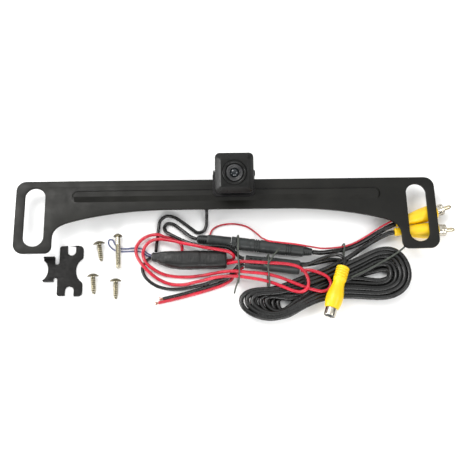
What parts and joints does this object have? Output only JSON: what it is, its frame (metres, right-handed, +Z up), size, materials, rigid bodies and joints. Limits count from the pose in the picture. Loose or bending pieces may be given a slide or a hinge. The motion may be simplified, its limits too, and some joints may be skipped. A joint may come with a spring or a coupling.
{
  "type": "backup camera",
  "caption": "Licence-plate-bar reversing camera on a stamped slotted bar, its lens pod tilting in a cradle, with a coiled video cable, connectors, plugs and loose fixings.",
  "frame": {"origin": "on the table plane, at the middle of the mounting bar's length and 1.5 mm above the pressed rib's line; the underside of the rear clamp block stands on it", "axes": "+X along the mounting bar towards the plugs, +Y towards the bar's straight upper edge, +Z up out of the bar's front face"},
  "size_m": [0.3138, 0.1135, 0.0428],
  "materials": {
    "bar_paint": "satin black enamel",
    "clip_paint": "satin charcoal coating",
    "pod_plastic": "fine grained moulding",
    "connector_plastic": "satin overmould",
    "seal_rubber": "soft seal",
    "filter_sleeve": "shrink sleeve",
    "lens_barrel_paint": "black anodised",
    "lens_glass": "coated, polished",
    "board_green": "solder mask",
    "chip": "smooth package",
    "small_screw_steel": "zinc plated",
    "fixing_steel": "zinc plated",
    "yellow_boot": "satin soft vinyl",
    "contact_nickel": "bright nickel plate",
    "pin_metal": "plated, bright",
    "insulator_white": "smooth",
    "insulator_dark": "smooth",
    "cord_black": "satin vinyl jacket",
    "cord_red": "satin vinyl jacket",
    "cord_blue": "satin vinyl jacket",
    "tie_black": "vinyl covered wire"
  },
  "bodies": {
    "bar_and_harness": {"mounting_bar": "bar_paint", "camera_cradle": "pod_plastic", "rear_clamp_block": "pod_plastic", "cord_grommet": "seal_rubber", "cradle_screw_left": "small_screw_steel", "cradle_screw_right": "small_screw_steel", "inline_plug_body": "connector_plastic", "inline_lock_ring": "connector_plastic", "inline_socket_body": "connector_plastic", "harness_joint": "connector_plastic", "power_filter_box": "filter_sleeve", "rca_plug_a_boot": "yellow_boot", "rca_plug_a_shell": "contact_nickel", "rca_plug_a_insulator": "insulator_white", "rca_plug_a_pin": "pin_metal", "rca_plug_b_boot": "yellow_boot", "rca_plug_b_shell": "contact_nickel", "rca_plug_b_insulator": "insulator_white", "rca_plug_b_pin": "pin_metal", "rca_jack_boot": "yellow_boot", "rca_jack_shell": "contact_nickel", "rca_jack_insulator": "insulator_dark", "video_cable_hank": "cord_black", "camera_cord": "cord_black", "module_cable": "cord_black", "plug_a_cord": "cord_black", "video_tail_plug": "cord_black", "video_tail_joint": "cord_black", "jack_cord": "cord_black", "red_lead_a": "cord_red", "red_lead_b": "cord_red", "black_lead": "cord_black", "tap_red": "cord_red", "tap_black": "cord_black", "trigger_wire": "cord_red", "loop_wire": "cord_blue", "bundle_tie_1": "tie_black", "bundle_tie_2": "tie_black", "bundle_tie_3": "tie_black", "loose_tie": "tie_black"},
    "camera_pod": {"front_bezel": "pod_plastic", "housing_gasket": "seal_rubber", "rear_shell": "pod_plastic", "lens_ring": "pod_plastic", "lens_barrel": "lens_barrel_paint", "lens_front_glass": "lens_glass", "lens_holder": "pod_plastic", "image_sensor": "chip", "sensor_board": "board_green", "housing_screw_1": "small_screw_steel", "housing_screw_2": "small_screw_steel", "housing_screw_3": "small_screw_steel", "housing_screw_4": "small_screw_steel", "pivot_screw_left": "small_screw_steel", "pivot_screw_right": "small_screw_steel"},
    "clip_plate": {"clip_plate": "clip_paint"},
    "long_bolt": {"long_bolt": "fixing_steel"},
    "short_screw_1": {"short_screw_1": "fixing_steel"},
    "short_screw_2": {"short_screw_2": "fixing_steel"},
    "short_screw_3": {"short_screw_3": "fixing_steel"}
  },
  "joints": [
    {"name": "camera_tilt", "type": "hinge", "parent": "bar_and_harness", "child": "camera_pod", "pos_m": [0.005, 0.0083, 0.0295], "axis": [1, 0, 0], "range_deg": [-20, 25]},
    {"name": "clip_plate_slide_out", "type": "slide", "parent": "bar_and_harness", "child": "clip_plate", "axis": [0, -1, 0], "range_m": [0, 0.04]},
    {"name": "long_bolt_lift", "type": "slide", "parent": "bar_and_harness", "child": "long_bolt", "axis": [0, 0, 1], "range_m": [0, 0.04]},
    {"name": "short_screw_1_lift", "type": "slide", "parent": "bar_and_harness", "child": "short_screw_1", "axis": [0, 0, 1], "range_m": [0, 0.04]},
    {"name": "short_screw_2_lift", "type": "slide", "parent": "bar_and_harness", "child": "short_screw_2", "axis": [0, 0, 1], "range_m": [0, 0.04]},
    {"name": "short_screw_3_lift", "type": "slide", "parent": "bar_and_harness", "child": "short_screw_3", "axis": [0, 0, 1], "range_m": [0, 0.04]}
  ]
}
